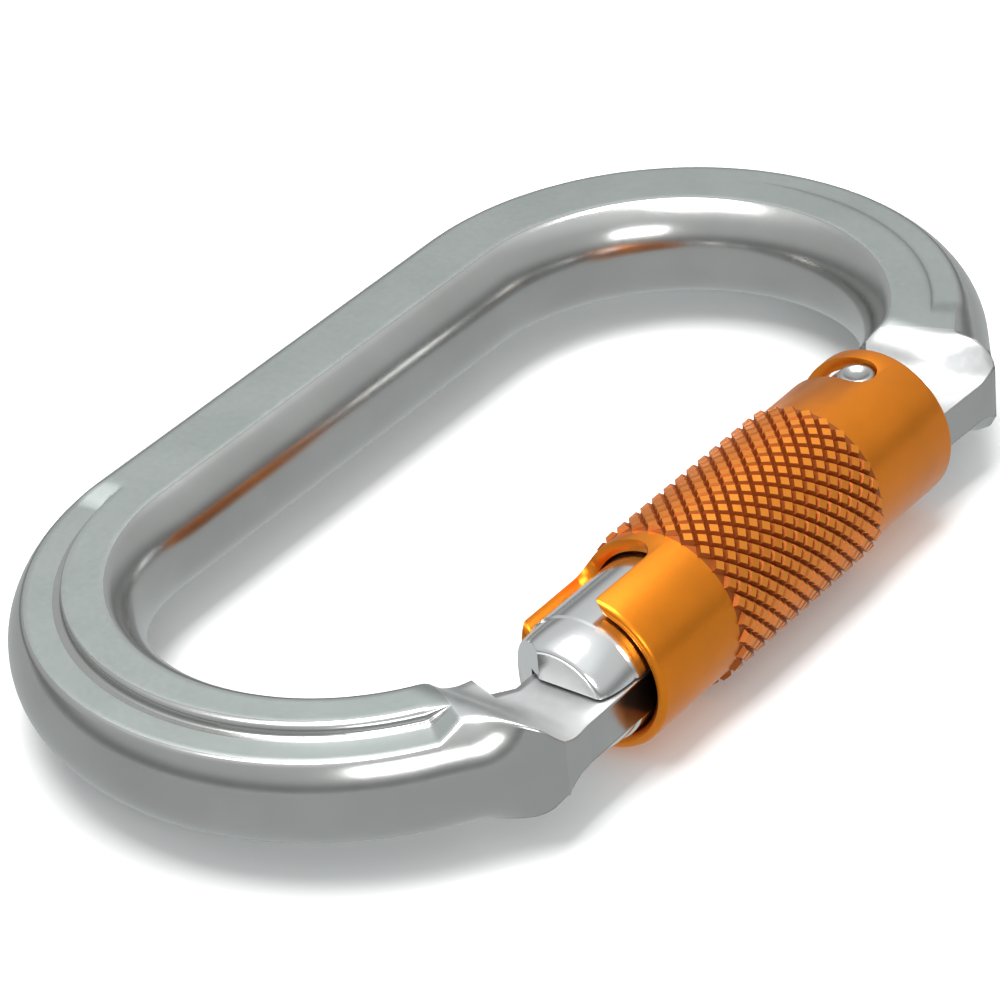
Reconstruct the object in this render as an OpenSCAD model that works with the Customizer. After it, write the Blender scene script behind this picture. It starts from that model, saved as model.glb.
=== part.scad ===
// Auto-locking oval carabiner: a forged frame, a sprung gate and a sprung twist sleeve.
// The long axis is X, with the nose at -X and the hinge at +X. The gate side is -Y.
// Modules are drawn about the middle of the frame's oval, and place() then sets the part on the plane z = 0.

/* [Frame] */
// Length of the frame over both bends
frame_length = 109; // [95:0.5:135]
// Radius of both bends, at the middle of the bar
bend_radius = 24.1; // [20:0.1:30]
// Width of the bar, across its round sides
bar_width = 12.1; // [10.5:0.1:14]
// Thickness of the bar, between its flats
bar_thickness = 10.4; // [9:0.1:12]
// Depth of the step round the outer half of each bend
step_depth = 1; // [0.3:0.1:1.6]
// Distance of the step outside the middle of the bar
step_offset = 0.8; // [0:0.1:2]

/* [Frame ends] */
// Thickness of the flat tongues at the nose and the hinge
tongue_thickness = 3.8; // [3:0.1:4.6]
// Length over which the bar thins down to a tongue
ramp_length = 7; // [5:0.5:10]
// How far the nose tongue reaches towards the inside of the gate axis
nose_inner = 2.5; // [2:0.1:3.2]
// Length of the thick head at the tip of the nose tongue
nose_head_length = 4.5; // [3:0.1:5.5]
// Thickness of the head at the tip of the nose tongue
nose_head_thickness = 7.2; // [5.5:0.1:7.8]
// How far the hinge tongue reaches towards the inside of the gate axis
hinge_inner = 3.6; // [3:0.1:3.7]

/* [Gate] */
// Diameter of the gate barrel
barrel_diameter = 12.3; // [11.5:0.1:15]
// Distance of the hinge rivet from the start of the hinge bend
rivet_setback = 4.25; // [3.5:0.05:6]
// How far the barrel's nose end runs past the start of the nose bend
barrel_overrun = 2.95; // [1:0.05:5]
// Radius of the flat on the barrel's nose end
nose_flat_radius = 5.1; // [3:0.1:5.5]
// Diameter of the bore for the gate spring and its plunger
spring_bore = 4.2; // [3.6:0.1:5]
// Diameter of the rivet's shank
rivet_diameter = 3.2; // [2.6:0.1:4]
// How much wider the rivet's head is than its shank, all round
rivet_head_rim = 0.15; // [0.1:0.05:0.5]
// How far the gate swings open, in degrees
gate_travel = 25; // [15:1:25]
// How far the plunger is pushed back in one radian of gate swing
plunger_rise = 2.75; // [1.5:0.05:3]

/* [Sleeve] */
// Wall of the sleeve's plain ends
sleeve_wall = 1.15; // [0.9:0.05:2]
// How far the sleeve's knurled middle stands above the plain ends
knurl_height = 0.45; // [0.2:0.05:1]
// Distance of the sleeve's nose end from the start of the nose bend
sleeve_setback = 2.35; // [1:0.05:5]
// How far the sleeve runs past the rivet
sleeve_tail = 3.9; // [3.4:0.1:4.2]
// Distance of the knurl's nose end from the sleeve's nose end
knurl_from = 11.2; // [10:0.1:16]
// Distance of the knurl's hinge end from the rivet
knurl_to = 8.2; // [6:0.1:12]
// Width of the slot that lets the nose out when the sleeve is turned
release_slot_width = 9.3; // [8.8:0.1:10]
// Direction of that slot, in degrees up from the inside of the frame
release_slot_angle = 58; // [40:1:75]
// Width of the relief in the sleeve's outer wall, where the tongue and its head pass out (0 = none)
relief_width = 8.4; // [0:0.1:9]

/* [Springs] */
// Wire of the gate spring
gate_wire = 0.6; // [0.4:0.05:0.8]
// Turns of the gate spring
gate_turns = 12; // [8:1:16]
// Wire of the sleeve's torsion spring
sleeve_wire = 0.7; // [0.4:0.05:0.8]
// Turns of the sleeve's torsion spring
sleeve_turns = 8; // [5:1:10]

/* [Clearances] */
// Gap all round between the sleeve and the barrel
sleeve_gap = 0.3; // [0.2:0.05:0.4]
// Gap between the sleeve's bore and a tongue's outer corners
tongue_side_gap = 0.26; // [0.2:0.02:1]
// Gap on each side of a tongue in its slot
tongue_gap = 0.2; // [0.15:0.05:0.4]
// Radial gap of the rivet in the hinge tongue
rivet_gap = 0.05; // [0.02:0.01:0.1]
// Gap round the nose head and at the ends of slots
head_gap = 0.4; // [0.3:0.05:0.6]

/* [Hidden] */
$fn = 64;

far = 60;
bar_radius = bar_width / 2;
flat_height = bar_thickness / 2;
bend_centre = frame_length / 2 - bend_radius - bar_radius;
step_radius = bend_radius + step_offset;
tongue = tongue_thickness / 2;

// the bar thins to each tongue along an S of two equal arcs
ramp_rise = flat_height - tongue;
ramp_radius = (ramp_length * ramp_length + ramp_rise * ramp_rise) / (4 * ramp_rise);
ramp_angle = 2 * atan(ramp_rise / ramp_length);
ramp_steps = 8;
nose_ramp_foot = bend_centre + 6.3;
hinge_ramp_foot = bend_centre + 1.8;
ramp_reach = 14;
root_height = 3.2;
root_step = 0.2;

rivet_x = bend_centre - rivet_setback;
barrel_radius = barrel_diameter / 2;
barrel_nose = -bend_centre - barrel_overrun;
tail_step = 0.5;
barrel_tail = rivet_x + sleeve_tail - tail_step;
barrel_dome = 4.1;
bevel_from = 1.4;
bevel_angle = 32;
slot_half = tongue + tongue_gap;
slot_inner = nose_inner + head_gap;

sleeve_bore = barrel_radius + sleeve_gap;
sleeve_diameter = 2 * (sleeve_bore + sleeve_wall);
knurl_diameter = sleeve_diameter + 2 * knurl_height;
tongue_outer = sqrt(sleeve_bore * sleeve_bore - tongue * tongue) - tongue_side_gap;
root_outer = tongue_outer + root_step;
sleeve_nose = sleeve_setback - bend_centre;
sleeve_end = rivet_x + sleeve_tail;
sleeve_edge = 0.6;

// the nose tongue ends inside the sleeve, and its head passes out through the release slot
nose_tip = sleeve_nose + 8.1;
head_outer = 4.6;
head_root = nose_tip - nose_head_length;
head_room_end = nose_tip + 1;
release_slot_end = head_room_end + 0.6;
release_slot_corner = 2;
sleeve_travel = 180 - release_slot_angle;

// the end of the hinge tongue is a spiral that pushes the plunger back as the gate opens
cam_radius = 4.4;
cam_from = 180 + 20;
cam_to = 180 - gate_travel - 8;
cam_steps = 12;
cam_largest = cam_radius + plunger_rise * (180 - cam_to) * PI / 180;
fork_floor = rivet_x - cam_largest - head_gap;
plunger_gap = 0.3;
plunger_tip = rivet_x - cam_radius - plunger_gap;
plunger_nose_radius = 1.2;
plunger_radius = spring_bore / 2 - 0.1;
plunger_head_length = 6.4;
plunger_stem_length = 5;
plunger_stem_radius = 0.95;
bore_end = head_room_end + 1.5;
gate_spring_start = plunger_tip - plunger_head_length;

rivet_radius = rivet_diameter / 2;
rivet_head_radius = rivet_radius + rivet_head_rim;
rivet_seat = barrel_radius - 0.5;
rivet_top = sleeve_diameter / 2 - 0.3;
rivet_dimple = 0.35;
rivet_slot_half = rivet_head_radius + 0.15;
slot_end_trim = 0.04;

// the barrel's waist holds the sleeve's torsion spring
spring_radius = sleeve_bore - 0.25 - sleeve_wire / 2;
waist_radius = spring_radius - sleeve_wire / 2 - 0.15;
waist_from = release_slot_end + 5.4;
waist_to = rivet_x - 8.5;

rest_height = knurl_diameter / 2;
side_shift = (knurl_diameter / 2 - bar_radius) / 2;

// a point every few degrees along an arc
function arc_points(x, y, r, from, to, steps) =
    [for (i = [0 : steps]) let (a = from + (to - from) * i / steps) [x + r * cos(a), y + r * sin(a)]];

// the space above a ramp, which falls from the full height to the tongue and has its foot at x = 0
function ramp_points(foot) = concat(
    arc_points(-ramp_length, flat_height - ramp_radius, ramp_radius, 90, 90 - ramp_angle, ramp_steps),
    arc_points(0, tongue + ramp_radius, ramp_radius, 270 - ramp_angle, 270, ramp_steps),
    [[foot, tongue], [foot, far], [-ramp_length, far]]);

function cam_points() = [for (i = [0 : cam_steps])
    let (a = cam_from + (cam_to - cam_from) * i / cam_steps,
         r = cam_radius + plunger_rise * (180 - a) * PI / 180)
    [rivet_x + r * cos(a), r * sin(a)]];

// rings of a coil along X, each a circle of wire about its own centre
function coil_points(x0, x1, r, wire, turns, per_turn, sides) =
    [for (i = [0 : turns * per_turn])
        let (a = 360 * i / per_turn, x = x0 + (x1 - x0) * i / (turns * per_turn))
        for (k = [0 : sides - 1])
            let (b = 360 * k / sides, q = r + wire / 2 * cos(b))
            [x + wire / 2 * sin(b), q * cos(a), q * sin(a)]];

module coil(x0, x1, r, wire, turns, per_turn, sides) {
    rings = turns * per_turn;
    side_faces = [for (i = [0 : rings - 1]) for (k = [0 : sides - 1])
        let (n = (k + 1) % sides)
        [i * sides + k, (i + 1) * sides + k, (i + 1) * sides + n, i * sides + n]];
    first_face = [for (k = [0 : sides - 1]) k];
    last_face = [for (k = [sides - 1 : -1 : 0]) rings * sides + k];
    polyhedron(coil_points(x0, x1, r, wire, turns, per_turn, sides),
               concat(side_faces, [first_face, last_face]));
}

module place() {
    translate([0, side_shift, rest_height]) children();
}

module at_gate() {
    translate([0, -bend_radius, 0]) children();
}

// an outline of radius against X, turned about the X axis
module turned(points) {
    rotate([90, 0, 90]) rotate_extrude() polygon(points);
}

module along_x(x0, x1, r) {
    translate([x0, 0, 0]) rotate([0, 90, 0]) cylinder(h = x1 - x0, r = r);
}

module bar_section() {
    intersection() {
        circle(r = bar_radius);
        square([2 * far, bar_thickness], center = true);
    }
}

// the nose bend, from the spine round to the end of the bar
module bend(sweep) {
    translate([-bend_centre, 0, 0]) rotate([0, 0, 90])
        rotate_extrude(angle = sweep) translate([bend_radius, 0]) bar_section();
}

// the step cut out of both flats round the outside of a bend
module step_cut(from, sweep) {
    for (up = [0, 1]) mirror([0, 0, up])
        translate([-bend_centre, 0, 0]) rotate([0, 0, from]) rotate_extrude(angle = sweep)
            translate([step_radius, flat_height - step_depth]) square([far, far]);
}

// both flats fall along the same ramp towards the middle of the gate
module ramp_cut(foot) {
    for (up = [0, 1]) mirror([0, 0, up])
        translate([-foot, ramp_reach - bend_radius, 0]) rotate([90, 0, 0])
            linear_extrude(height = far) polygon(ramp_points(foot));
}

module nose_plan() {
    polygon([
        [-bend_centre - 15.5, -1.7],
        [-bend_centre - 9.9, -root_outer],
        [-bend_centre - 8.5, -tongue_outer],
        [nose_tip - 1, -tongue_outer],
        [nose_tip, -head_outer],
        [nose_tip, nose_inner - 1],
        [nose_tip - 1, nose_inner],
        [-bend_centre - 4.8, nose_inner],
        [-bend_centre - 7.2, 4],
        [-bend_centre - 10, 4]]);
}

module hinge_plan() {
    polygon(concat(
        [[bend_centre + 13, -3],
         [bend_centre + 9.1, -root_outer],
         [bend_centre + 6, -tongue_outer],
         [rivet_x + 3.4, -tongue_outer],
         [rivet_x + 1, -4.6]],
        cam_points(),
        [[rivet_x - 2.5, hinge_inner],
         [rivet_x + 6.6, hinge_inner],
         [bend_centre + 4, 5],
         [bend_centre + 9, 5]]));
}

module frame_body() {
    color("silver") place() difference() {
        union() {
            difference() {
                frame_outline();
                ramp_cut(nose_ramp_foot);
                mirror([1, 0, 0]) ramp_cut(hinge_ramp_foot);
            }
            at_gate() nose_head();
        }
        step_cut(96, 140);
        mirror([1, 0, 0]) step_cut(170, 73);
        at_gate() translate([rivet_x, 0, -far]) cylinder(h = 2 * far, r = rivet_radius + rivet_gap);
    }
}

// the bar bent into an open oval, with both tongues not yet thinned
module frame_outline() {
    translate([-bend_centre, bend_radius, 0]) rotate([90, 0, 90])
        linear_extrude(height = 2 * bend_centre) bar_section();
    bend(160);
    mirror([1, 0, 0]) bend(170);
    at_gate() translate([0, 0, -root_height]) linear_extrude(height = 2 * root_height) nose_plan();
    at_gate() translate([0, 0, -root_height]) linear_extrude(height = 2 * root_height) hinge_plan();
}

// the thick tip of the nose tongue, which the barrel's shoulders catch when the frame is loaded
module nose_head() {
    translate([head_root, -head_outer, -nose_head_thickness / 2])
        cube([nose_head_length, head_outer + nose_inner - 1, nose_head_thickness]);
}

module gate_barrel() {
    color("gainsboro") place() at_gate() difference() {
        turned(concat(
            [[0, barrel_nose], [nose_flat_radius, barrel_nose]],
            dome_points(),
            [[barrel_radius, waist_from],
             [waist_radius, waist_from + 0.6],
             [waist_radius, waist_to - 0.6],
             [barrel_radius, waist_to],
             [barrel_radius, barrel_tail - 0.5],
             [barrel_radius - 0.5, barrel_tail],
             [0, barrel_tail]]));
        nose_slot();
        translate([fork_floor, -far, -slot_half]) cube([far, 2 * far, 2 * slot_half]);
        along_x(bore_end, far, spring_bore / 2);
        translate([rivet_x, 0, -far]) cylinder(h = 2 * far, r = rivet_radius);
        translate([rivet_x, 0, rivet_seat]) cylinder(h = far, r = rivet_head_radius);
    }
}

// the convex end of the barrel, a quarter of an ellipse between the flat and the full radius
function dome_points() = [for (i = [1 : 6]) let (a = 90 * i / 6)
    [nose_flat_radius + (barrel_radius - nose_flat_radius) * sin(a),
     barrel_nose + barrel_dome * (1 - cos(a))]];

// the slot for the nose tongue and its head is open at the end and on the outside
module nose_slot() {
    translate([barrel_nose - far, -far, -slot_half])
        cube([far + head_room_end - barrel_nose, far + slot_inner, 2 * slot_half]);
    translate([head_root - head_gap, -far, -nose_head_thickness / 2 - head_gap])
        cube([nose_head_length + 1 + head_gap, far + slot_inner, nose_head_thickness + 2 * head_gap]);
    translate([barrel_nose, bevel_from, -far]) rotate([0, 0, -bevel_angle]) translate([-far, 0, 0])
        cube([far, far, 2 * far]);
}

module hinge_rivet() {
    color("lightgray") place() at_gate() translate([rivet_x, 0, 0]) rotate_extrude() polygon(concat(
        [[0, -barrel_radius + 0.3], [rivet_radius, -barrel_radius + 0.3], [rivet_radius, rivet_seat],
         [rivet_head_radius, rivet_seat], [rivet_head_radius, rivet_top - 0.4],
         [rivet_head_radius - 0.4, rivet_top], [rivet_head_radius - 0.8, rivet_top]],
        [[0, rivet_top - rivet_dimple]]));
}

module gate_spring() {
    color("darkgray") place() at_gate()
        coil(bore_end + gate_wire / 2 + 0.1, gate_spring_start - gate_wire / 2 - 0.05,
             spring_bore / 2 - 0.15 - gate_wire / 2, gate_wire, gate_turns, 12, 6);
}

module spring_plunger() {
    color("goldenrod") place() at_gate() {
        turned(concat(
            [[0, gate_spring_start - plunger_stem_length],
             [plunger_stem_radius, gate_spring_start - plunger_stem_length],
             [plunger_stem_radius, gate_spring_start],
             [plunger_radius, gate_spring_start],
             [plunger_radius, plunger_tip - 2],
             [plunger_nose_radius, plunger_tip - plunger_nose_radius]],
            [for (a = [75 : -15 : 0]) [plunger_nose_radius * sin(a),
                                       plunger_tip - plunger_nose_radius * (1 - cos(a))]]));
    }
}

// a straight-sided slot that opens at the sleeve's nose end, in the direction given
module end_slot(angle, width) {
    rotate([angle, 0, 0]) rotate([-90, 0, 0]) linear_extrude(height = far) {
        translate([sleeve_nose - far, -width / 2])
            square([far + release_slot_end - sleeve_nose - release_slot_corner, width]);
        translate([sleeve_nose, -width / 2 + release_slot_corner])
            square([release_slot_end - sleeve_nose, width - 2 * release_slot_corner]);
        for (s = [-1, 1])
            translate([release_slot_end - release_slot_corner, s * (width / 2 - release_slot_corner)])
                circle(r = release_slot_corner);
    }
}

// the crosswise slot in which the rivet's head stops the sleeve at both ends of its turn
module rivet_slot() {
    rotate([-sleeve_travel + 90, 0, 0]) rotate([90, 0, 90]) rotate_extrude(angle = sleeve_travel)
        translate([rivet_seat - 1, rivet_x - rivet_slot_half]) square([far, 2 * rivet_slot_half]);
    for (a = [90, 90 - sleeve_travel]) rotate([a, 0, 0]) translate([rivet_x, 0, 0]) rotate([-90, 0, 0])
        cylinder(h = far, r = rivet_slot_half - slot_end_trim);
}

module twist_sleeve() {
    plain = sleeve_diameter / 2;
    knurled = knurl_diameter / 2;
    color("darkorange") place() at_gate() difference() {
        turned([
            [sleeve_bore + 0.4, sleeve_nose],
            [plain - sleeve_edge, sleeve_nose],
            [plain, sleeve_nose + sleeve_edge],
            [plain, sleeve_nose + knurl_from],
            [knurled, sleeve_nose + knurl_from + 0.5],
            [knurled, rivet_x - knurl_to - 0.5],
            [plain, rivet_x - knurl_to],
            [plain, sleeve_end - sleeve_edge],
            [plain - sleeve_edge, sleeve_end],
            [sleeve_bore, sleeve_end],
            [sleeve_bore, sleeve_nose + 0.4]]);
        end_slot(release_slot_angle, release_slot_width);
        if (relief_width > 0) end_slot(180, relief_width);
        rivet_slot();
    }
}

module sleeve_spring() {
    color("dimgray") place() at_gate()
        coil(waist_from + 1 + sleeve_wire, waist_to - 1 - sleeve_wire, spring_radius, sleeve_wire,
             sleeve_turns, 16, 6);
}

frame_body();
gate_barrel();
hinge_rivet();
gate_spring();
spring_plunger();
twist_sleeve();
sleeve_spring();
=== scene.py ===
# %% [markdown]
# # An auto-locking oval carabiner
# A forged aluminium oval with flats on both faces, a silver gate inside a knurled orange twist sleeve,
# and a dimpled rivet that holds the gate. This file loads the solid model as a fixed frame and gives it
# its looks. All lengths below are in millimetres until they are written into a mesh, and the object lies
# flat with +Z up.

import bmesh
import bpy
import math
import numpy as np
from mathutils import Matrix, Vector


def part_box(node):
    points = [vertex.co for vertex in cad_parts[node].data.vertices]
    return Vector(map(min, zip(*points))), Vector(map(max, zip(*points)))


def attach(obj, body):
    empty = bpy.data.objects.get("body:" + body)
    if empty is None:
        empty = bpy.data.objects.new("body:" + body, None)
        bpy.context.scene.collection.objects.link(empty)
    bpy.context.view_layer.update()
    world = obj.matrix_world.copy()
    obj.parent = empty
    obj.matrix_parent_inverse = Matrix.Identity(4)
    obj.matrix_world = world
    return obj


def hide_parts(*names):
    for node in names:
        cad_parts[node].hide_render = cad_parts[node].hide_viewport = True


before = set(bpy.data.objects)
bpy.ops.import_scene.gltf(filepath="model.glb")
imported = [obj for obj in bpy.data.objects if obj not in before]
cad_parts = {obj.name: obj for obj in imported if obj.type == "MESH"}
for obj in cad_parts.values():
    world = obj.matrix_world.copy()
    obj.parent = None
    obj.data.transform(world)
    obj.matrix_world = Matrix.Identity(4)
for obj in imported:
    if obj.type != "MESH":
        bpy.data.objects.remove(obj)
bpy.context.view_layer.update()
MM = 0.001
print("nodes:", sorted(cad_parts))


# %% Read the driving sizes from the frame
def box_mm(node):
    low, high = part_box(node)
    return np.array(low) / MM, np.array(high) / MM


frame_low, frame_high = box_mm("frame_body")
sleeve_low, sleeve_high = box_mm("twist_sleeve")
barrel_low, barrel_high = box_mm("gate_barrel")
rivet_low, rivet_high = box_mm("hinge_rivet")

HALF_LENGTH = frame_high[0]
FLAT = (frame_high[2] - frame_low[2]) / 2
MID_Z = (frame_high[2] + frame_low[2]) / 2
KNURL_R = (sleeve_high[2] - sleeve_low[2]) / 2
BARREL_R = (barrel_high[2] - barrel_low[2]) / 2
GATE_Y = (barrel_low[1] + barrel_high[1]) / 2
PIVOT_X = (rivet_low[0] + rivet_high[0]) / 2
BAR_R = 6.05
BEND_R = (frame_high[1] - BAR_R - GATE_Y) / 2
CENTRE_Y = GATE_Y + BEND_R
BEND_X = HALF_LENGTH - BEND_R - BAR_R
print(f"bend radius {BEND_R:.2f}, bends at x = {BEND_X:.2f}, gate axis y = {GATE_Y:.2f}, z = {MID_Z:.2f}")


# %% [markdown]
# ## Camera
# The carabiner is seen from its nose end and from a third of the way up, through a long lens. A camera is a
# position and three axes, so the axes are worked out from the two angles and a small roll.

# %% Make the camera
def make_camera(azimuth, elevation, roll, target, distance, lens, shift):
    a, e, r = (math.radians(v) for v in (azimuth, elevation, roll))
    back = Vector((math.sin(a) * math.cos(e), -math.cos(a) * math.cos(e), math.sin(e)))
    right = Vector((math.cos(a), math.sin(a), 0))
    up = back.cross(right)
    side = right * math.cos(r) + up * math.sin(r)
    top = up * math.cos(r) - right * math.sin(r)
    data = bpy.data.cameras.new("camera")
    data.lens = lens
    data.sensor_width = 36
    data.shift_x, data.shift_y = shift
    data.clip_start, data.clip_end = 0.01, 10
    camera = bpy.data.objects.new("camera", data)
    bpy.context.scene.collection.objects.link(camera)
    place = Matrix((side, top, back)).transposed().to_4x4()
    place.translation = (Vector(target) + back * distance) * MM
    camera.matrix_world = place
    bpy.context.scene.camera = camera
    return camera


camera = make_camera(
    azimuth=-50.38,
    elevation=32.72,
    roll=-5.63,
    target=(-5.7, CENTRE_Y - 1.65, MID_Z),
    distance=400,
    lens=160.1,
    shift=(0.0064, 0.0104),
)
print("camera at", [round(v, 3) for v in camera.location])


# %% [markdown]
# ## Finishes
# The forging is tumbled bright on its round sides, has a finer satin on its flats, and is pressed bright
# on its ramps and tongues. The sleeve is anodised, which keeps the metal's shine under a clear orange.
# Each finish is a Principled shader with a little noise in its roughness and its bump, so that no surface
# is perfectly even. Object coordinates hold the noise to the piece.

# %% A helper that builds one finish
def finish(name, colour, metallic, roughness, rough_spread=0.05, bump=0.0, scale=900.0, stretch=(1, 1, 1),
           tint=None, tint_scale=200.0, coat=0.0):
    material = bpy.data.materials.new(name)
    material.use_nodes = True
    nodes, links = material.node_tree.nodes, material.node_tree.links
    shader = nodes["Principled BSDF"]
    shader.inputs["Base Color"].default_value = (*colour, 1)
    shader.inputs["Metallic"].default_value = metallic
    shader.inputs["Coat Weight"].default_value = coat
    place = nodes.new("ShaderNodeTexCoord")
    mapping = nodes.new("ShaderNodeMapping")
    mapping.inputs["Scale"].default_value = stretch
    links.new(place.outputs["Object"], mapping.inputs["Vector"])
    noise = nodes.new("ShaderNodeTexNoise")
    noise.inputs["Scale"].default_value = scale
    noise.inputs["Detail"].default_value = 4
    links.new(mapping.outputs["Vector"], noise.inputs["Vector"])
    spread = nodes.new("ShaderNodeMapRange")
    spread.inputs["To Min"].default_value = roughness - rough_spread
    spread.inputs["To Max"].default_value = roughness + rough_spread
    links.new(noise.outputs["Fac"], spread.inputs["Value"])
    links.new(spread.outputs["Result"], shader.inputs["Roughness"])
    if bump > 0:
        relief = nodes.new("ShaderNodeBump")
        relief.inputs["Strength"].default_value = bump
        relief.inputs["Distance"].default_value = 0.05 * MM
        links.new(noise.outputs["Fac"], relief.inputs["Height"])
        links.new(relief.outputs["Normal"], shader.inputs["Normal"])
    if tint is not None:
        patches = nodes.new("ShaderNodeTexNoise")
        patches.inputs["Scale"].default_value = tint_scale
        patches.inputs["Detail"].default_value = 6
        links.new(mapping.outputs["Vector"], patches.inputs["Vector"])
        ramp = nodes.new("ShaderNodeValToRGB")
        ramp.color_ramp.elements[0].position = 0.35
        ramp.color_ramp.elements[0].color = (*tint, 1)
        ramp.color_ramp.elements[1].position = 0.65
        ramp.color_ramp.elements[1].color = (*colour, 1)
        links.new(patches.outputs["Fac"], ramp.inputs["Fac"])
        links.new(ramp.outputs["Color"], shader.inputs["Base Color"])
    return material


# %% The finishes themselves
polished_alloy = finish("polished_alloy", (0.52, 0.52, 0.51), 1.0, 0.2, 0.04, bump=0.05, scale=700,
                        tint=(0.47, 0.47, 0.46), tint_scale=90)
satin_alloy = finish("satin_alloy", (0.40, 0.43, 0.42), 1.0, 0.42, 0.05, bump=0.1, scale=1800,
                     tint=(0.37, 0.40, 0.39), tint_scale=140)
pressed_alloy = finish("pressed_alloy", (0.64, 0.64, 0.64), 1.0, 0.36, 0.05, bump=0.08, scale=900,
                       tint=(0.55, 0.56, 0.56), tint_scale=160)
turned_alloy = finish("turned_alloy", (0.82, 0.82, 0.82), 1.0, 0.16, 0.03, bump=0.03, scale=600,
                      stretch=(6, 1, 1))
rivet_steel = finish("rivet_steel", (0.48, 0.48, 0.48), 1.0, 0.28, 0.06, bump=0.1, scale=900)
orange_satin = finish("orange_satin", (0.86, 0.25, 0.015), 0.9, 0.31, 0.04, bump=0.04, scale=1500,
                      stretch=(1, 1, 1), tint=(0.74, 0.22, 0.015), tint_scale=120)
# The pad tops keep the sleeve's orange. The dark knurl colour is painted shade on the pads' sides and in
# the grooves between them.
knurl_top = finish("knurl_top", (0.86, 0.28, 0.035), 0.9, 0.34, 0.08, bump=0.15, scale=1200)
knurl_groove = finish("knurl_groove", (0.36, 0.09, 0.015), 0.8, 0.42, 0.05)
spring_steel = finish("spring_steel", (0.45, 0.46, 0.48), 1.0, 0.3)
plunger_brass = finish("plunger_brass", (0.75, 0.58, 0.28), 1.0, 0.28)
print("finishes:", len(bpy.data.materials))


# %% Helpers that turn points into a piece
def to_world(points):
    return [tuple(np.asarray(p) * MM) for p in points]


def new_piece(name, points, faces, materials, face_materials=None):
    mesh = bpy.data.meshes.new(name)
    mesh.from_pydata(to_world(points), [], faces)
    for material in materials:
        mesh.materials.append(material)
    if face_materials is not None:
        mesh.polygons.foreach_set("material_index", face_materials)
    mesh.polygons.foreach_set("use_smooth", [True] * len(mesh.polygons))
    piece = bpy.data.objects.new(name, mesh)
    bpy.context.scene.collection.objects.link(piece)
    return piece


def merge_close(piece, distance=0.0005):
    work = bmesh.new()
    work.from_mesh(piece.data)
    bmesh.ops.remove_doubles(work, verts=work.verts, dist=distance * MM)
    bmesh.ops.dissolve_degenerate(work, dist=distance * MM, edges=work.edges)
    bmesh.ops.recalc_face_normals(work, faces=work.faces)
    work.to_mesh(piece.data)
    work.free()


# %% [markdown]
# ## The forged frame
# A real frame starts as a round bar that is bent to an oval, then pressed flat on both faces in a die.
# The die also sinks a step round the outside of the nose bend and squeezes both ends down to tongues. It
# could be cut from solids, but a loft keeps its long reflections smooth: the bar's section is drawn again
# and again along the oval, each time with the height that the die leaves there. Every ring has the same
# points, so the edges of the flats and of the step run along the mesh.

# %% Heights left by the die
TONGUE = 1.9
RAMP_LENGTH = 7.0
NOSE_SKEW, HINGE_SKEW = 0.14, 0.115
NOSE_FOOT = -(BEND_X + 6.3)
HINGE_FOOT = -(BEND_X + 1.8)


def ramp_shift(y, foot):
    """How much sooner a ramp comes down on its outside. The hinge ramp does so mostly at its very edge."""
    out = max(-y, 0.0)
    return NOSE_SKEW * out if foot == NOSE_FOOT else HINGE_SKEW * out**2


def ramp_height(x, y, foot):
    """Height of the top at a place, for an end that points to +x."""
    x = x + ramp_shift(y, foot)
    rise = FLAT - TONGUE
    radius = (RAMP_LENGTH**2 + rise**2) / (4 * rise)
    if x >= foot:
        return TONGUE
    if x >= foot - RAMP_LENGTH / 2:
        return TONGUE + radius - math.sqrt(radius**2 - (x - foot) ** 2)
    if x >= foot - RAMP_LENGTH:
        return FLAT - radius + math.sqrt(radius**2 - (x - foot + RAMP_LENGTH) ** 2)
    return FLAT


def smooth_step(x, x0, x1):
    t = min(max((x - x0) / (x1 - x0), 0.0), 1.0)
    return t * t * (3 - 2 * t)


def straight_step(x, x0, x1):
    return min(max((x - x0) / (x1 - x0), 0.0), 1.0)


def nose_step(angle):
    """Depth, edge radius and softness of the nose step. The angle round the bend is 90 on the spine."""
    depth = 1.05 * straight_step(angle, 92.5, 97.5) * (1 - straight_step(angle, 233.5, 238.5))
    edge = 0.12 + 0.75 * smooth_step(angle, 125, 215)
    return depth, edge, 1.0


def hinge_step(angle):
    depth = 0.24 * smooth_step(angle, 165, 185) * (1 - smooth_step(angle, 238, 244.5))
    return depth, 0.5, 5.0


# %% One section of the bar
EDGE = 0.16
SIDE_POINTS = 14
TOP_OUTER = 6
FILLET = 4
ROUND = 5
TOP_INNER = 7
STEP_AT = 0.85


def top_profile(depth, edge, soft, u_out, u_in):
    """Points (u, height above the flat) over the top, from the outer edge to the inner edge."""
    fillet = min(0.3, depth * 0.4)
    edge = min(edge, depth - fillet)
    points = []
    for u in np.linspace(u_out, STEP_AT + fillet * soft, TOP_OUTER, endpoint=False):
        points.append((u, -depth))
    for t in np.linspace(0, math.pi / 2, FILLET):
        points.append((STEP_AT + fillet * soft * (1 - math.sin(t)), -depth + fillet * (1 - math.cos(t))))
    for t in np.linspace(0, math.pi / 2, ROUND):
        points.append((STEP_AT - edge * soft * (1 - math.cos(t)), -edge + edge * math.sin(t)))
    for u in np.linspace(STEP_AT - edge * soft, u_in, TOP_INNER + 1)[1:]:
        points.append((u, 0.0))
    return points


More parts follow.
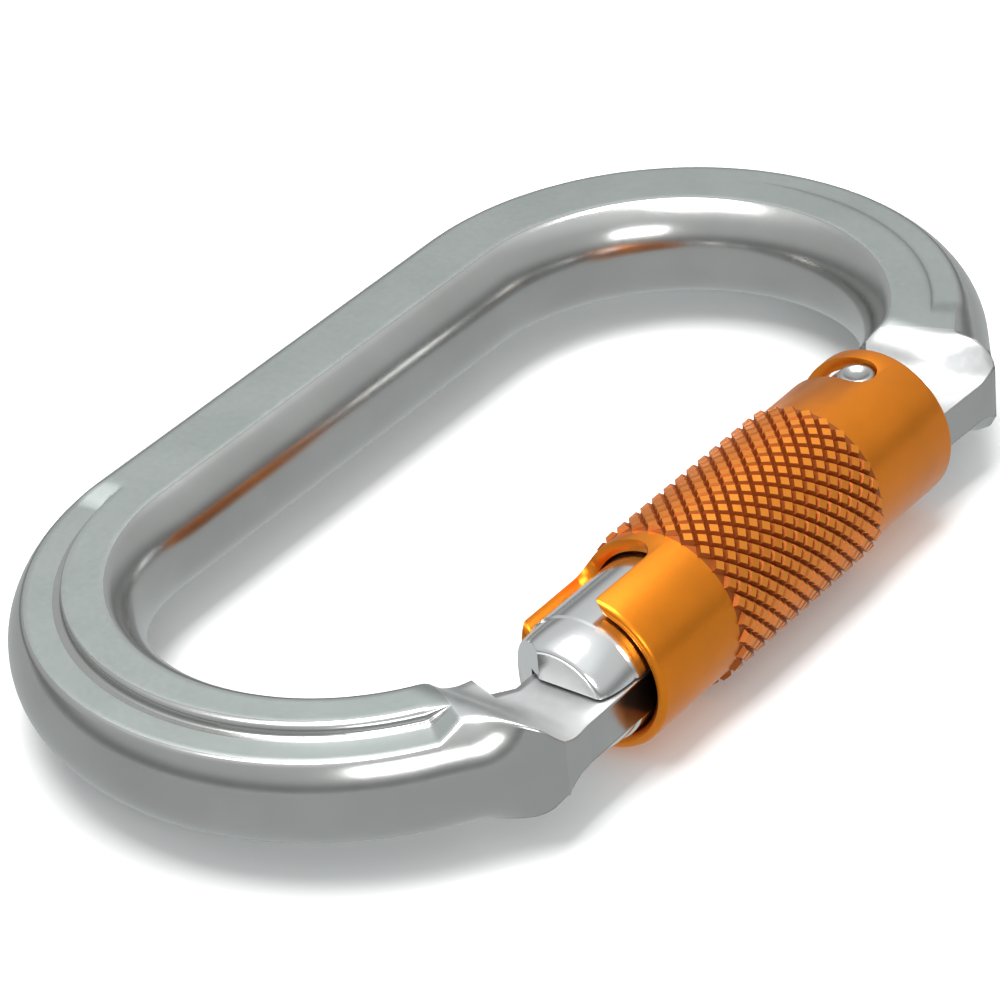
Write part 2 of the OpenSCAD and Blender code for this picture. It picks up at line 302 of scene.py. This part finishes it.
def round_ring(centre, normal, foot, depth, edge, soft, extra=0.0, square=0.0):
    """A ring of the round bar: side, top, side. The underside is a copy of it.

    The outer half is wider by extra. square is 0 for a round outer side and 1 for a plain upright one.
    """
    wide = 1 + extra / BAR_R

    def height(u, drop=0.0):
        x, y = centre + normal * u
        return min(FLAT + drop, ramp_height(x, y, foot)) if y < BEND_R else FLAT + drop

    def side(z):
        u = math.sqrt(BAR_R**2 - z**2)
        return (u + square * (BAR_R - u)) * wide

    def edge_of(sign, drop):
        z = FLAT
        for _ in range(12):
            u = side(z) if sign > 0 else -math.sqrt(BAR_R**2 - z**2)
            z = 0.5 * z + 0.5 * height(u, drop)
        return u, z

    u_out, z_out = edge_of(1, -depth)
    u_in, z_in = edge_of(-1, 0)
    a_out, a_in = math.asin(z_out / BAR_R), math.asin(z_in / BAR_R)
    trim = EDGE / BAR_R
    outer_heights = [BAR_R * math.sin(a) for a in np.linspace(0, a_out - trim, SIDE_POINTS)]
    points = [(side(z), z) for z in outer_heights]
    for u, drop in top_profile(depth, edge, soft, u_out - EDGE, u_in + EDGE):
        points.append((u, height(u, drop)))
    for a in np.linspace(a_in - trim, 0, SIDE_POINTS):
        points.append((-BAR_R * math.cos(a), BAR_R * math.sin(a)))
    return points


# %% Rings from the spine to one end
def flare(angle, from_angle):
    """How far the die lets the outer side run straight on, past an angle round the bend."""
    out = BEND_R + BAR_R
    return out / math.cos(math.radians(angle - from_angle)) - out if angle > from_angle else 0.0


def bend_place(angle):
    a = math.radians(angle)
    normal = np.array([math.cos(a), math.sin(a)])
    return np.array([-BEND_X, BEND_R]) + normal * BEND_R, normal


def bend_rings(last_angle, step, foot, fine_from, flare_from, square_over):
    """Rings from the middle of the spine round the bend, in plan, with the gate axis at y = 0."""
    spine = np.linspace(0, -BEND_X, 14)[:-1]
    rings = [(np.array([x, 2 * BEND_R]), np.array([0.0, 1.0]), 0.0, 0.12, 1.0, 0.0, 0.0) for x in spine]
    coarse = list(np.arange(90, fine_from, 1.5))
    fine = list(np.arange(fine_from, last_angle + 0.01, 0.5))
    for angle in coarse + fine:
        centre, normal = bend_place(angle)
        square = smooth_step(angle, last_angle - square_over, last_angle)
        rings.append((centre, normal, *step(angle), flare(angle, flare_from), square))
    return [(c, n, round_ring(c, n, foot, d, e, w, f, q), d) for c, n, d, e, w, f, q in rings]


def square_rings(last, outline, foot):
    """Rings of a tongue. Each line of the outline gives its outer and its inner side in plan."""
    centre, normal, round_points = last[:3]
    u_first = [u for u, z in round_points]
    rings = []
    for outer, inner in outline:
        outer, inner = np.array(outer, float), np.array(inner, float)
        if not rings:
            u_out, u_in = (outer - centre) @ normal, (inner - centre) @ normal
            shares = [(u_out - min(max(u, u_in), u_out)) / (u_out - u_in) for u in u_first]
            top = range(SIDE_POINTS, len(u_first) - SIDE_POINTS)
            shares = [0.0] * SIDE_POINTS + [shares[i] for i in top] + [1.0] * SIDE_POINTS
        across = inner - outer
        spots = [outer + across * s for s in shares]
        tops = [ramp_height(p[0], p[1], foot) for p in spots]
        heights = [tops[0] * i / (SIDE_POINTS - 1) for i in range(SIDE_POINTS)]
        heights += tops[SIDE_POINTS:-SIDE_POINTS]
        heights += [tops[-1] * i / (SIDE_POINTS - 1) for i in range(SIDE_POINTS - 1, -1, -1)]
        rings.append([(p[0], p[1], z) for p, z in zip(spots, heights)])
    return rings


def round_to_plan(ring):
    centre, normal, points = ring[:3]
    return [(centre[0] + normal[0] * u, centre[1] + normal[1] * u, z) for u, z in points]


# %% The tongues' outlines in plan
TONGUE_OUT = 5.9
NOSE_INNER, HINGE_INNER = 2.5, 3.6
HEAD_FROM, HEAD_TO = NOSE_FOOT + 12.25, NOSE_FOOT + 16.75
HEAD_OUT, HEAD_IN, HEAD_HALF = 4.6, 1.5, 3.6
HEAD_MIDDLE, HEAD_TAPER = -1.5, 0.85
EYE_LENGTH, EYE_HALF = 4.3, 4.4
NOSE_LAST, NOSE_FLARE, NOSE_SQUARE = 252, 232.7, 13
HINGE_LAST, HINGE_FLARE, HINGE_SQUARE = 253.5, 235, 3


def nose_outline():
    """From the end of the bend, past the ramp, to the thick head inside the gate."""
    end, normal = bend_place(NOSE_LAST)
    start_out = end + normal * (BAR_R + flare(NOSE_LAST, NOSE_FLARE))
    start_in = end - normal * 2.8
    lines = [(start_out, start_in)]
    root_out = np.array([-BEND_X - 6.0, -TONGUE_OUT])
    root_in = np.array([-BEND_X - 4.8, NOSE_INNER])
    for t in np.linspace(0.04, 1, 30):
        out = start_out + (root_out - start_out) * t
        inn = start_in + (root_in - start_in) * t
        lines.append((out, inn))
    lines.append(((HEAD_FROM - 0.3, -TONGUE_OUT), (HEAD_FROM - 0.3, NOSE_INNER)))
    lines.append(((HEAD_FROM, -HEAD_OUT), (HEAD_FROM, HEAD_IN)))
    return lines


def hinge_outline():
    """From the end of the bend, past the ramp, to the rounded end about the rivet."""
    end, normal = bend_place(HINGE_LAST)
    start_out = end + normal * (BAR_R + flare(HINGE_LAST, HINGE_FLARE))
    start_in = end - normal * 4.6
    lines = [(start_out, start_in)]
    root_out = np.array([-PIVOT_X - 3.4, -TONGUE_OUT])
    root_in = np.array([-PIVOT_X - 6.7, HINGE_INNER])
    for t in np.linspace(0.06, 1, 18):
        out = start_out + (root_out - start_out) * t
        inn = start_in + (root_in - start_in) * t
        lines.append((out, inn))
    for t in np.linspace(0, 80, 9):
        a = math.radians(t)
        x = -PIVOT_X + EYE_LENGTH * math.sin(a)
        lines.append(((x, -EYE_HALF * math.cos(a) - 0.1), (x, HINGE_INNER * math.cos(a) + 0.1)))
    return lines


# %% Loft the frame
def close_ring(points):
    """Adds the underside to a ring that runs over the top from one side to the other."""
    return points + [(x, y, -z) for x, y, z in points[-2:0:-1]]


def loft(rings):
    points = [p for ring in rings for p in ring]
    count = len(rings[0])
    faces = []
    for i in range(len(rings) - 1):
        for k in range(count):
            n = (k + 1) % count
            faces.append((i * count + k, i * count + n, (i + 1) * count + n, (i + 1) * count + k))
    faces.append(tuple(range(count)))
    faces.append(tuple(range((len(rings) - 1) * count, len(rings) * count))[::-1])
    return points, faces


SOFT_STEP = 0.3


def frame_slots(rings, faces, depths):
    """The flats are satin, the ramps and the tongues' tops are pressed bright, and the rest is polished."""
    count = len(rings[0])
    inner_from = SIDE_POINTS + TOP_OUTER + FILLET + ROUND
    outer_flat = set(range(SIDE_POINTS, SIDE_POINTS + TOP_OUTER - 1))
    step_edge = set(range(SIDE_POINTS + TOP_OUTER - 1, inner_from - 1))
    inner_flat = set(range(inner_from - 1, inner_from + TOP_INNER - 1))
    slots = []
    for i in range(len(faces) - 2):
        ring, k = divmod(i, count)
        k = min(k, count - 1 - k)
        level = rings[ring][inner_from][2] > FLAT - 0.04
        satin = k in outer_flat or k in inner_flat or (k in step_edge and depths[ring] < SOFT_STEP)
        on_top = k in outer_flat or k in inner_flat or k in step_edge
        slots.append((1 if satin else 0) if level else (2 if on_top else 0))
    return slots + [0, 0]


def forged_frame():
    nose = bend_rings(NOSE_LAST, nose_step, NOSE_FOOT, 228, NOSE_FLARE, NOSE_SQUARE)
    hinge = bend_rings(HINGE_LAST, hinge_step, HINGE_FOOT, 228, HINGE_FLARE, HINGE_SQUARE)
    nose_rings = [round_to_plan(r) for r in nose] + square_rings(nose[-1], nose_outline(), NOSE_FOOT)
    head = [(x, y, z * HEAD_HALF / TONGUE) for x, y, z in nose_rings[-1]]
    nose_rings.append(head)
    nose_rings.append([(HEAD_TO - 0.6, y, z) for x, y, z in head])
    narrowed = [((y - HEAD_MIDDLE) * HEAD_TAPER + HEAD_MIDDLE, z * HEAD_TAPER) for x, y, z in head]
    nose_rings.append([(HEAD_TO, y, z) for y, z in narrowed])
    hinge_rings = [round_to_plan(r) for r in hinge] + square_rings(hinge[-1], hinge_outline(), HINGE_FOOT)
    hinge_rings = [[(-x, y, z) for x, y, z in ring] for ring in hinge_rings]
    rings = [close_ring(r) for r in hinge_rings[:0:-1] + nose_rings]
    points, faces = loft(rings)
    points = [(x, y + GATE_Y, z + MID_Z) for x, y, z in points]
    depths = [0.0] * (len(hinge_rings) - len(hinge)) + [r[3] for r in hinge[:0:-1]] + [r[3] for r in nose]
    depths += [0.0] * (len(rings) - len(depths))
    slots = frame_slots(rings, faces, depths)
    piece = new_piece("forged_frame", points, faces, [polished_alloy, satin_alloy, pressed_alloy], slots)
    merge_close(piece)
    return piece


frame_piece = forged_frame()
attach(frame_piece, "frame")
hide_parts("frame_body")
print("frame faces:", len(frame_piece.data.polygons))


# %% [markdown]
# ## Turned pieces
# The gate barrel, the sleeve and the rivet are turned on a lathe, so each starts as an outline of radius
# against length that is spun about its axis. The slots are milled after turning, and here they are cut
# with the Boolean modifier. A narrow bevel then breaks the edges, as tumbling does.

# %% Helpers for turning, cutting and breaking edges
def spin(name, outline, axis, centre, materials, segments=128, closed_ends=True):
    """Turns an outline of (length, radius) about an axis. A radius of 0 closes an end."""
    points, faces = [], []
    for length, radius in outline:
        for k in range(segments):
            a = 2 * math.pi * k / segments
            if axis == "x":
                points.append((length, radius * math.cos(a), radius * math.sin(a)))
            else:
                points.append((radius * math.cos(a), radius * math.sin(a), length))
    rows = len(outline)
    for i in range(rows if not closed_ends else rows - 1):
        j = (i + 1) % rows
        for k in range(segments):
            n = (k + 1) % segments
            faces.append((i * segments + k, j * segments + k, j * segments + n, i * segments + n))
    points = [tuple(np.array(p) + np.array(centre)) for p in points]
    piece = new_piece(name, points, faces, materials)
    merge_close(piece, 0.002)
    return piece


def apply_modifiers(piece):
    graph = bpy.context.evaluated_depsgraph_get()
    mesh = bpy.data.meshes.new_from_object(piece.evaluated_get(graph))
    piece.modifiers.clear()
    old = piece.data
    piece.data = mesh
    mesh.name = piece.name
    bpy.data.meshes.remove(old)


def cut(piece, cutters):
    for cutter in cutters:
        boolean = piece.modifiers.new("cut", "BOOLEAN")
        boolean.operation = "DIFFERENCE"
        boolean.solver = "EXACT"
        boolean.object = cutter
    apply_modifiers(piece)
    for cutter in cutters:
        bpy.data.objects.remove(cutter)


def break_edges(piece, width, angle=35, segments=2):
    bevel = piece.modifiers.new("edges", "BEVEL")
    bevel.width = width * MM
    bevel.segments = segments
    bevel.limit_method = "ANGLE"
    bevel.angle_limit = math.radians(angle)
    bevel.harden_normals = False
    apply_modifiers(piece)


def shade(piece, angle=30):
    piece.data.polygons.foreach_set("use_smooth", [True] * len(piece.data.polygons))
    piece.data.set_sharp_from_angle(angle=math.radians(angle))


def prism(name, outline, low, high, turn=None, materials=()):
    """A plan outline of (x, y) raised from low to high, then turned by a matrix about the gate axis."""
    count = len(outline)
    points = [(x, y, low) for x, y in outline] + [(x, y, high) for x, y in outline]
    faces = [tuple(range(count))[::-1], tuple(range(count, 2 * count))]
    faces += [(k, (k + 1) % count, count + (k + 1) % count, count + k) for k in range(count)]
    if turn is not None:
        points = [tuple(turn @ Vector(p)) for p in points]
    points = [(x, y + GATE_Y, z + MID_Z) for x, y, z in points]
    piece = new_piece(name, points, faces, list(materials))
    merge_close(piece, 0.001)
    return piece


def about_axis(degrees):
    """Turns +Z to a direction round the gate axis, counted from the inside of the oval upwards."""
    return Matrix.Rotation(math.radians(degrees - 90), 3, "X")


# %% [markdown]
# ## The gate barrel
# Only the barrel's domed nose end and a strip of its tail show. The dome is polished, and the milled slot
# for the nose tongue runs through it.

# %% Turn and mill the barrel
SLOT_HALF = 2.1
NOSE_END = barrel_low[0]
TAIL_END = barrel_high[0]
NOSE_FLAT_R = 5.0
DOME = 4.1
SHOULDER = 0.16
SLOT_INNER = NOSE_INNER + 0.4
HEAD_ROOM = (HEAD_FROM - 0.4, HEAD_TO + 1)
FORK_FLOOR = PIVOT_X - 6.3


def rectangle(x0, x1, y0, y1):
    return [(x0, y0), (x1, y0), (x1, y1), (x0, y1)]


def gate_barrel():
    dome_rise = BARREL_R - SHOULDER - NOSE_FLAT_R
    dome = [(NOSE_END + DOME * (1 - math.cos(t)), NOSE_FLAT_R + dome_rise * math.sin(t))
            for t in np.linspace(0, math.pi / 2, 9)]
    outline = [(NOSE_END, 0), (NOSE_END, NOSE_FLAT_R - 0.15)] + dome
    outline += [(NOSE_END + DOME + 0.05, BARREL_R - SHOULDER), (NOSE_END + DOME + 0.25, BARREL_R)]
    outline += [(TAIL_END - 0.5, BARREL_R), (TAIL_END, BARREL_R - 0.5), (TAIL_END, 0)]
    piece = spin("barrel", outline, "x", (0, GATE_Y, MID_Z), [turned_alloy])
    slot = prism("slot", rectangle(NOSE_END - 5, HEAD_ROOM[1], -20, SLOT_INNER), -SLOT_HALF, SLOT_HALF)
    room = prism("room", rectangle(*HEAD_ROOM, -20, SLOT_INNER), -4, 4)
    fork = prism("fork", rectangle(FORK_FLOOR, 40, -20, 20), -SLOT_HALF, SLOT_HALF)
    slant = [(NOSE_END, 1.4), (NOSE_END + 9.4, 16.4), (NOSE_END - 10, 16.4), (NOSE_END - 10, 1.4)]
    bevel = prism("bevel", slant, -20, 20)
    cut(piece, [slot, room, fork, bevel])
    break_edges(piece, 0.18, 40)
    shade(piece)
    return piece


barrel = gate_barrel()
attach(barrel, "gate")
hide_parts("gate_barrel")
print("barrel faces:", len(barrel.data.polygons))


# %% [markdown]
# ## The hinge rivet
# The rivet's head is pressed with a shallow dimple when it is set, which leaves a raised ring round it.

# %% Turn the rivet
def hinge_rivet():
    top = rivet_high[2] - MID_Z
    bottom = rivet_low[2] - MID_Z
    head = (rivet_high[0] - rivet_low[0]) / 2
    outline = [(bottom, 0), (bottom, 1.6), (BARREL_R - 0.5, 1.6), (BARREL_R - 0.5, head)]
    outline += [(top - 0.42 + 0.42 * math.sin(t), head - 0.42 * (1 - math.cos(t)))
                for t in np.linspace(0, math.pi / 2, 6)]
    outline += [(top - 0.02, head - 0.6), (top - 0.22, head - 0.85), (top - 0.3, 0.4), (top - 0.3, 0)]
    piece = spin("rivet", outline, "z", (PIVOT_X, GATE_Y, MID_Z), [rivet_steel], 64)
    shade(piece, 40)
    return piece


rivet = hinge_rivet()
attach(rivet, "gate")
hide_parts("hinge_rivet")
print("rivet faces:", len(rivet.data.polygons))


# %% [markdown]
# ## The twist sleeve
# The sleeve is a tube with a U-shaped slot at its nose end and a crosswise slot for the rivet. Its middle
# is sunk a little here, because the knurl's pads are added over it. Its outer wall is closed, as on the
# real one.

# %% Turn and mill the sleeve
PLAIN_R = 7.6
SLEEVE_BORE = 6.45
SLOT_ANGLE = 58
SLOT_WIDTH = 9.3
SLOT_END = sleeve_low[0] + 9.7
SLOT_CORNER = 2.0
TRAVEL = 180 - SLOT_ANGLE
KNURL_FROM = PIVOT_X - 30.9
KNURL_TO = PIVOT_X - 8.2
GROOVE_R = 7.62
RIVET_SLOT_HALF = 1.9


def arc(x, y, radius, first, last, count):
    angles = np.radians(np.linspace(first, last, count))
    return [(x + radius * math.cos(a), y + radius * math.sin(a)) for a in angles]


def release_slot():
    half = SLOT_WIDTH / 2
    mouth, flare = sleeve_low[0], 0.7
    inner = SLOT_END - SLOT_CORNER
    outline = [(mouth - 5, -half - flare)]
    outline += [(mouth, -half - flare)] + arc(mouth + flare, -half - flare, flare, 180, 90, 6)[1:]
    outline += arc(inner, -half + SLOT_CORNER, SLOT_CORNER, -90, 0, 9)
    outline += arc(inner, half - SLOT_CORNER, SLOT_CORNER, 0, 90, 9)
    outline += arc(mouth + flare, half + flare, flare, -90, -180, 6)
    outline += [(mouth - 5, half + flare)]
    return prism("release", outline, 0, 20, about_axis(SLOT_ANGLE))


def rivet_slot():
    """A round-ended bar that follows the sleeve from the rivet round to the far end of the turn."""
    points, faces = [], []
    rows = []
    tip = math.degrees(RIVET_SLOT_HALF / PLAIN_R)
    for step in range(13):
        t = math.radians(90 * step / 12)
        rows.append((90 + tip * math.cos(t), RIVET_SLOT_HALF * math.sin(t)))
    for angle in np.linspace(90, 90 - TRAVEL, 26)[1:-1]:
        rows.append((angle, RIVET_SLOT_HALF))
    for step in range(13):
        t = math.radians(90 - 90 * step / 12)
        rows.append((90 - TRAVEL - tip * math.cos(t), RIVET_SLOT_HALF * math.sin(t)))
    for angle, half in rows:
        a = math.radians(angle)
        for radius in (5.5, 9.0):
            for side in (-1, 1):
                y, z = radius * math.cos(a) + GATE_Y, radius * math.sin(a) + MID_Z
                points.append((PIVOT_X + side * half, y, z))
    for i in range(len(rows) - 1):
        a, b = 4 * i, 4 * (i + 1)
        faces += [(a, a + 1, b + 1, b), (a + 2, b + 2, b + 3, a + 3), (a, b, b + 2, a + 2),
                  (a + 1, a + 3, b + 3, b + 1)]
    piece = new_piece("rivet_slot", points, faces, [])
    merge_close(piece, 0.01)
    return piece


def twist_sleeve():
    nose, tail = sleeve_low[0], sleeve_high[0]
    edge = 0.55
    outline = [(nose + 0.5, SLEEVE_BORE), (nose, SLEEVE_BORE + 0.45)]
    outline += [(nose + edge * (1 - math.sin(t)), PLAIN_R - edge * (1 - math.cos(t)))
                for t in np.linspace(math.pi / 2, 0, 6)]
    outline += [(KNURL_FROM - 0.25, PLAIN_R), (KNURL_FROM, GROOVE_R)]
    outline += [(KNURL_TO, GROOVE_R), (KNURL_TO + 0.25, PLAIN_R)]
    outline += [(tail - edge * (1 - math.sin(t)), PLAIN_R - edge * (1 - math.cos(t)))
                for t in np.linspace(0, math.pi / 2, 6)]
    outline += [(tail, SLEEVE_BORE + 0.1), (tail - 0.1, SLEEVE_BORE)]
    piece = spin("sleeve", outline, "x", (0, GATE_Y, MID_Z), [orange_satin, knurl_groove], 192,
                 closed_ends=False)
    cut(piece, [release_slot(), rivet_slot()])
    break_edges(piece, 0.14, 40)
    shade(piece)
    # The sunk middle band between the pads gets the knurl's painted shade, the darkness of the grooves.
    middle = [KNURL_FROM * MM < p.center.x < KNURL_TO * MM
              and math.hypot(p.center.y - GATE_Y * MM, p.center.z - MID_Z * MM) > 7.2 * MM
              for p in piece.data.polygons]
    piece.data.polygons.foreach_set("material_index", [int(m) for m in middle])
    return piece


sleeve = twist_sleeve()
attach(sleeve, "sleeve")
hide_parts("twist_sleeve")
print("sleeve faces:", len(sleeve.data.polygons))


# %% [markdown]
# ## The knurl
# Two sets of crossing rolls press diagonal grooves into the sleeve and leave square pads between them.
# Geometry Nodes lays them out: a grid gives one point for each pad, each point is wrapped round the
# sleeve, and a small truncated pyramid is set on it, turned so that its top faces outwards. The tops keep
# the sleeve's orange, and the pads' sides and the grooves between them are painted dark as shade.

# %% One pad
PAD_PITCH = 1.25
PAD_HEIGHT = KNURL_R - GROOVE_R


def knurl_pad():
    base, top = PAD_PITCH * 0.70, PAD_PITCH * 0.45
    points = [(base, 0, -0.15), (0, base, -0.15), (-base, 0, -0.15), (0, -base, -0.15)]
    points += [(base, 0, 0), (0, base, 0), (-base, 0, 0), (0, -base, 0)]
    points += [(top, 0, PAD_HEIGHT), (0, top, PAD_HEIGHT), (-top, 0, PAD_HEIGHT), (0, -top, PAD_HEIGHT)]
    faces = [(3, 2, 1, 0), (8, 9, 10, 11)]
    for k in range(4):
        n = (k + 1) % 4
        faces += [(k, n, n + 4, k + 4), (k + 4, n + 4, n + 8, k + 8)]
    piece = new_piece("pad", points, faces, [])
    piece.data.polygons.foreach_set("use_smooth", [False] * len(piece.data.polygons))
    return piece


# %% Build the tree that lays the pads round the sleeve
def knurl_tree(pad):
    tree = bpy.data.node_groups.new("knurl_layout", "GeometryNodeTree")
    face = tree.interface
    face.new_socket("Geometry", in_out="OUTPUT", socket_type="NodeSocketGeometry")
    around = face.new_socket("Pads around", in_out="INPUT", socket_type="NodeSocketInt")
    rows = face.new_socket("Rows", in_out="INPUT", socket_type="NodeSocketInt")
    start = face.new_socket("First row", in_out="INPUT", socket_type="NodeSocketFloat")
    row_gap = face.new_socket("Row spacing", in_out="INPUT", socket_type="NodeSocketFloat")
    radius = face.new_socket("Radius", in_out="INPUT", socket_type="NodeSocketFloat")
    nodes, links = tree.nodes, tree.links
    inputs = nodes.new("NodeGroupInput")
    output = nodes.new("NodeGroupOutput")

    def maths(operation, first, second=None):
        node = nodes.new("ShaderNodeMath")
        node.operation = operation
        for socket, value in zip(node.inputs, (first, second)):
            if value is None:
                continue
            if isinstance(value, (int, float)):
                socket.default_value = value
            else:
                links.new(value, socket)
        return node.outputs[0]

    count = maths("MULTIPLY", inputs.outputs["Pads around"], inputs.outputs["Rows"])
    line = nodes.new("GeometryNodeMeshLine")
    links.new(count, line.inputs["Count"])
    index = nodes.new("GeometryNodeInputIndex").outputs[0]
    row = maths("FLOOR", maths("DIVIDE", maths("ADD", index, 0.5), inputs.outputs["Pads around"]))
    column = maths("SUBTRACT", index, maths("MULTIPLY", row, inputs.outputs["Pads around"]))
    stagger = maths("MULTIPLY", maths("MODULO", row, 2.0), 0.5)
    turn = maths("DIVIDE", maths("ADD", column, stagger), inputs.outputs["Pads around"])
    angle = maths("MULTIPLY", turn, 2 * math.pi)
    place = nodes.new("ShaderNodeCombineXYZ")
    along = maths("ADD", inputs.outputs["First row"], maths("MULTIPLY", row, inputs.outputs["Row spacing"]))
    links.new(along, place.inputs["X"])
    links.new(maths("MULTIPLY", maths("COSINE", angle), inputs.outputs["Radius"]), place.inputs["Y"])
    links.new(maths("MULTIPLY", maths("SINE", angle), inputs.outputs["Radius"]), place.inputs["Z"])
    spots = nodes.new("GeometryNodeSetPosition")
    links.new(line.outputs["Mesh"], spots.inputs["Geometry"])
    links.new(place.outputs["Vector"], spots.inputs["Position"])
    facing = nodes.new("ShaderNodeCombineXYZ")
    links.new(maths("SUBTRACT", angle, math.pi / 2), facing.inputs["X"])
    holder = nodes.new("GeometryNodeObjectInfo")
    holder.inputs["Object"].default_value = pad
    copies = nodes.new("GeometryNodeInstanceOnPoints")
    links.new(spots.outputs["Geometry"], copies.inputs["Points"])
    links.new(holder.outputs["Geometry"], copies.inputs["Instance"])
    links.new(facing.outputs["Vector"], copies.inputs["Rotation"])
    real = nodes.new("GeometryNodeRealizeInstances")
    links.new(copies.outputs["Instances"], real.inputs["Geometry"])
    # Every face of the pads first gets the painted shade; the faces that look outwards then get the orange
    # top.
    sides = nodes.new("GeometryNodeSetMaterial")
    sides.inputs["Material"].default_value = knurl_groove
    links.new(real.outputs["Geometry"], sides.inputs["Geometry"])
    outward = nodes.new("ShaderNodeVectorMath")
    outward.operation = "MULTIPLY"
    outward.inputs[1].default_value = (0, 1 / (KNURL_R * MM), 1 / (KNURL_R * MM))
    links.new(nodes.new("GeometryNodeInputPosition").outputs[0], outward.inputs[0])
    facing_out = nodes.new("ShaderNodeVectorMath")
    facing_out.operation = "DOT_PRODUCT"
    links.new(outward.outputs["Vector"], facing_out.inputs[0])
    links.new(nodes.new("GeometryNodeInputNormal").outputs[0], facing_out.inputs[1])
    paint = nodes.new("GeometryNodeSetMaterial")
    paint.inputs["Material"].default_value = knurl_top
    links.new(sides.outputs["Geometry"], paint.inputs["Geometry"])
    links.new(maths("GREATER_THAN", facing_out.outputs["Value"], 0.85), paint.inputs["Selection"])
    links.new(paint.outputs["Geometry"], output.inputs["Geometry"])
    return tree, {s.name: s.identifier for s in (around, rows, start, row_gap, radius)}


# %% Lay the pads and keep them as a plain mesh
def sleeve_knurl():
    pad = knurl_pad()
    tree, sockets = knurl_tree(pad)
    gap = PAD_PITCH * math.sqrt(2)
    around = round(2 * math.pi * GROOVE_R / gap)
    rows = int((KNURL_TO - KNURL_FROM - 1.2) / (gap / 2)) + 1
    spare = KNURL_TO - KNURL_FROM - (rows - 1) * gap / 2
    holder = new_piece("knurl_holder", [(0, 0, 0)], [], [])
    modifier = holder.modifiers.new("knurl", "NODES")
    modifier.node_group = tree
    values = {"Pads around": around, "Rows": rows, "First row": (KNURL_FROM + spare / 2) * MM,
              "Row spacing": gap / 2 * MM, "Radius": GROOVE_R * MM}
    for name, value in values.items():
        modifier[sockets[name]] = value
    graph = bpy.context.evaluated_depsgraph_get()
    mesh = bpy.data.meshes.new_from_object(holder.evaluated_get(graph))
    mesh.transform(Matrix.Translation((0, GATE_Y * MM, MID_Z * MM)))
    piece = bpy.data.objects.new("sleeve_knurl", mesh)
    bpy.context.scene.collection.objects.link(piece)
    bpy.data.objects.remove(holder)
    bpy.data.objects.remove(pad)
    print(f"knurl: {around} pads round, {rows} rows")
    return piece


knurl = sleeve_knurl()
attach(knurl, "sleeve")


# %% [markdown]
# ## Hidden pieces
# The springs and the plunger are inside the gate. They keep their solids and only get a finish.

# %% Finish the hidden pieces
def repaint(node, material):
    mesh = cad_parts[node].data
    mesh.materials.clear()
    mesh.materials.append(material)


repaint("gate_spring", spring_steel)
repaint("sleeve_spring", spring_steel)
repaint("spring_plunger", plunger_brass)


# %% [markdown]
# ## Studio
# A pale floor, a large soft light overhead and a smaller one in front. Polished metal shows its
# surroundings, so the walls change from grey to white with height, which gives the bright sides their
# dark lines. A white floor would wash out the undersides, so a grey card lies on it that only mirror
# reflections see.

# %% Helpers for the floor, the lights and the card
def emission(name, colour, strength):
    material = bpy.data.materials.new(name)
    material.use_nodes = True
    nodes, links = material.node_tree.nodes, material.node_tree.links
    nodes.clear()
    glow = nodes.new("ShaderNodeEmission")
    glow.inputs["Color"].default_value = (*colour, 1)
    glow.inputs["Strength"].default_value = strength
    output = nodes.new("ShaderNodeOutputMaterial")
    links.new(glow.outputs["Emission"], output.inputs["Surface"])
    return material


def area_light(name, place, target, size, power, colour=(1, 1, 1)):
    data = bpy.data.lights.new(name, "AREA")
    data.shape = "RECTANGLE"
    data.size, data.size_y = size
    data.energy = power
    data.color = colour
    light = bpy.data.objects.new(name, data)
    light.location = place
    light.rotation_euler = (Vector(target) - Vector(place)).to_track_quat("-Z", "Y").to_euler()
    bpy.context.scene.collection.objects.link(light)
    return light


def floor():
    material = finish("floor_white", (0.88, 0.88, 0.88), 0.0, 0.7)
    half = 3000
    points = [(-half, -half, 0), (half, -half, 0), (half, half, 0), (-half, half, 0)]
    plane = new_piece("floor", points, [(0, 1, 2, 3)], [material])
    return plane


def reflection_card(level):
    """A grey card just over the floor that only reflections see, so that undersides don't wash out."""
    material = emission("card_grey", (0.95, 1.0, 1.0), level)
    half = 400
    points = [(-half, -half, 0.02), (half, -half, 0.02), (half, half, 0.02), (-half, half, 0.02)]
    card = new_piece("reflection_card", points, [(0, 1, 2, 3)], [material])
    card.visible_camera = False
    card.visible_diffuse = False
    card.visible_shadow = False
    card.visible_transmission = False
    return card


def studio_world(bands):
    """Surroundings that change with height: (sine of the height angle, brightness) from low to high."""
    world = bpy.data.worlds.new("studio")
    world.use_nodes = True
    nodes, links = world.node_tree.nodes, world.node_tree.links
    place = nodes.new("ShaderNodeTexCoord")
    split = nodes.new("ShaderNodeSeparateXYZ")
    ramp = nodes.new("ShaderNodeValToRGB")
    elements = ramp.color_ramp.elements
    for k, (height, level) in enumerate(bands):
        element = elements[k] if k < 2 else elements.new(height)
        element.position = height
        element.color = (level * 0.97, level, level, 1)
    links.new(place.outputs["Generated"], split.inputs["Vector"])
    links.new(split.outputs["Z"], ramp.inputs["Fac"])
    links.new(ramp.outputs["Color"], nodes["Background"].inputs["Color"])
    nodes["Background"].inputs["Strength"].default_value = 1.0
    return world


# %% Set up the studio
world = studio_world([(0.0, 0.42), (0.13, 0.2), (0.34, 0.6), (0.66, 0.66), (0.85, 0.95)])
bpy.context.scene.world = world
floor()
reflection_card(0.56)
area_light("softbox_top", (0.0, 0.05, 0.6), (0, 0, 0), (0.5, 0.3), 4.5)
area_light("softbox_front", (-0.5, -0.6, 0.45), (0, 0, 0), (0.4, 0.2), 2.0)
bpy.context.scene.view_settings.view_transform = "Standard"
bpy.context.scene.view_settings.look = "None"
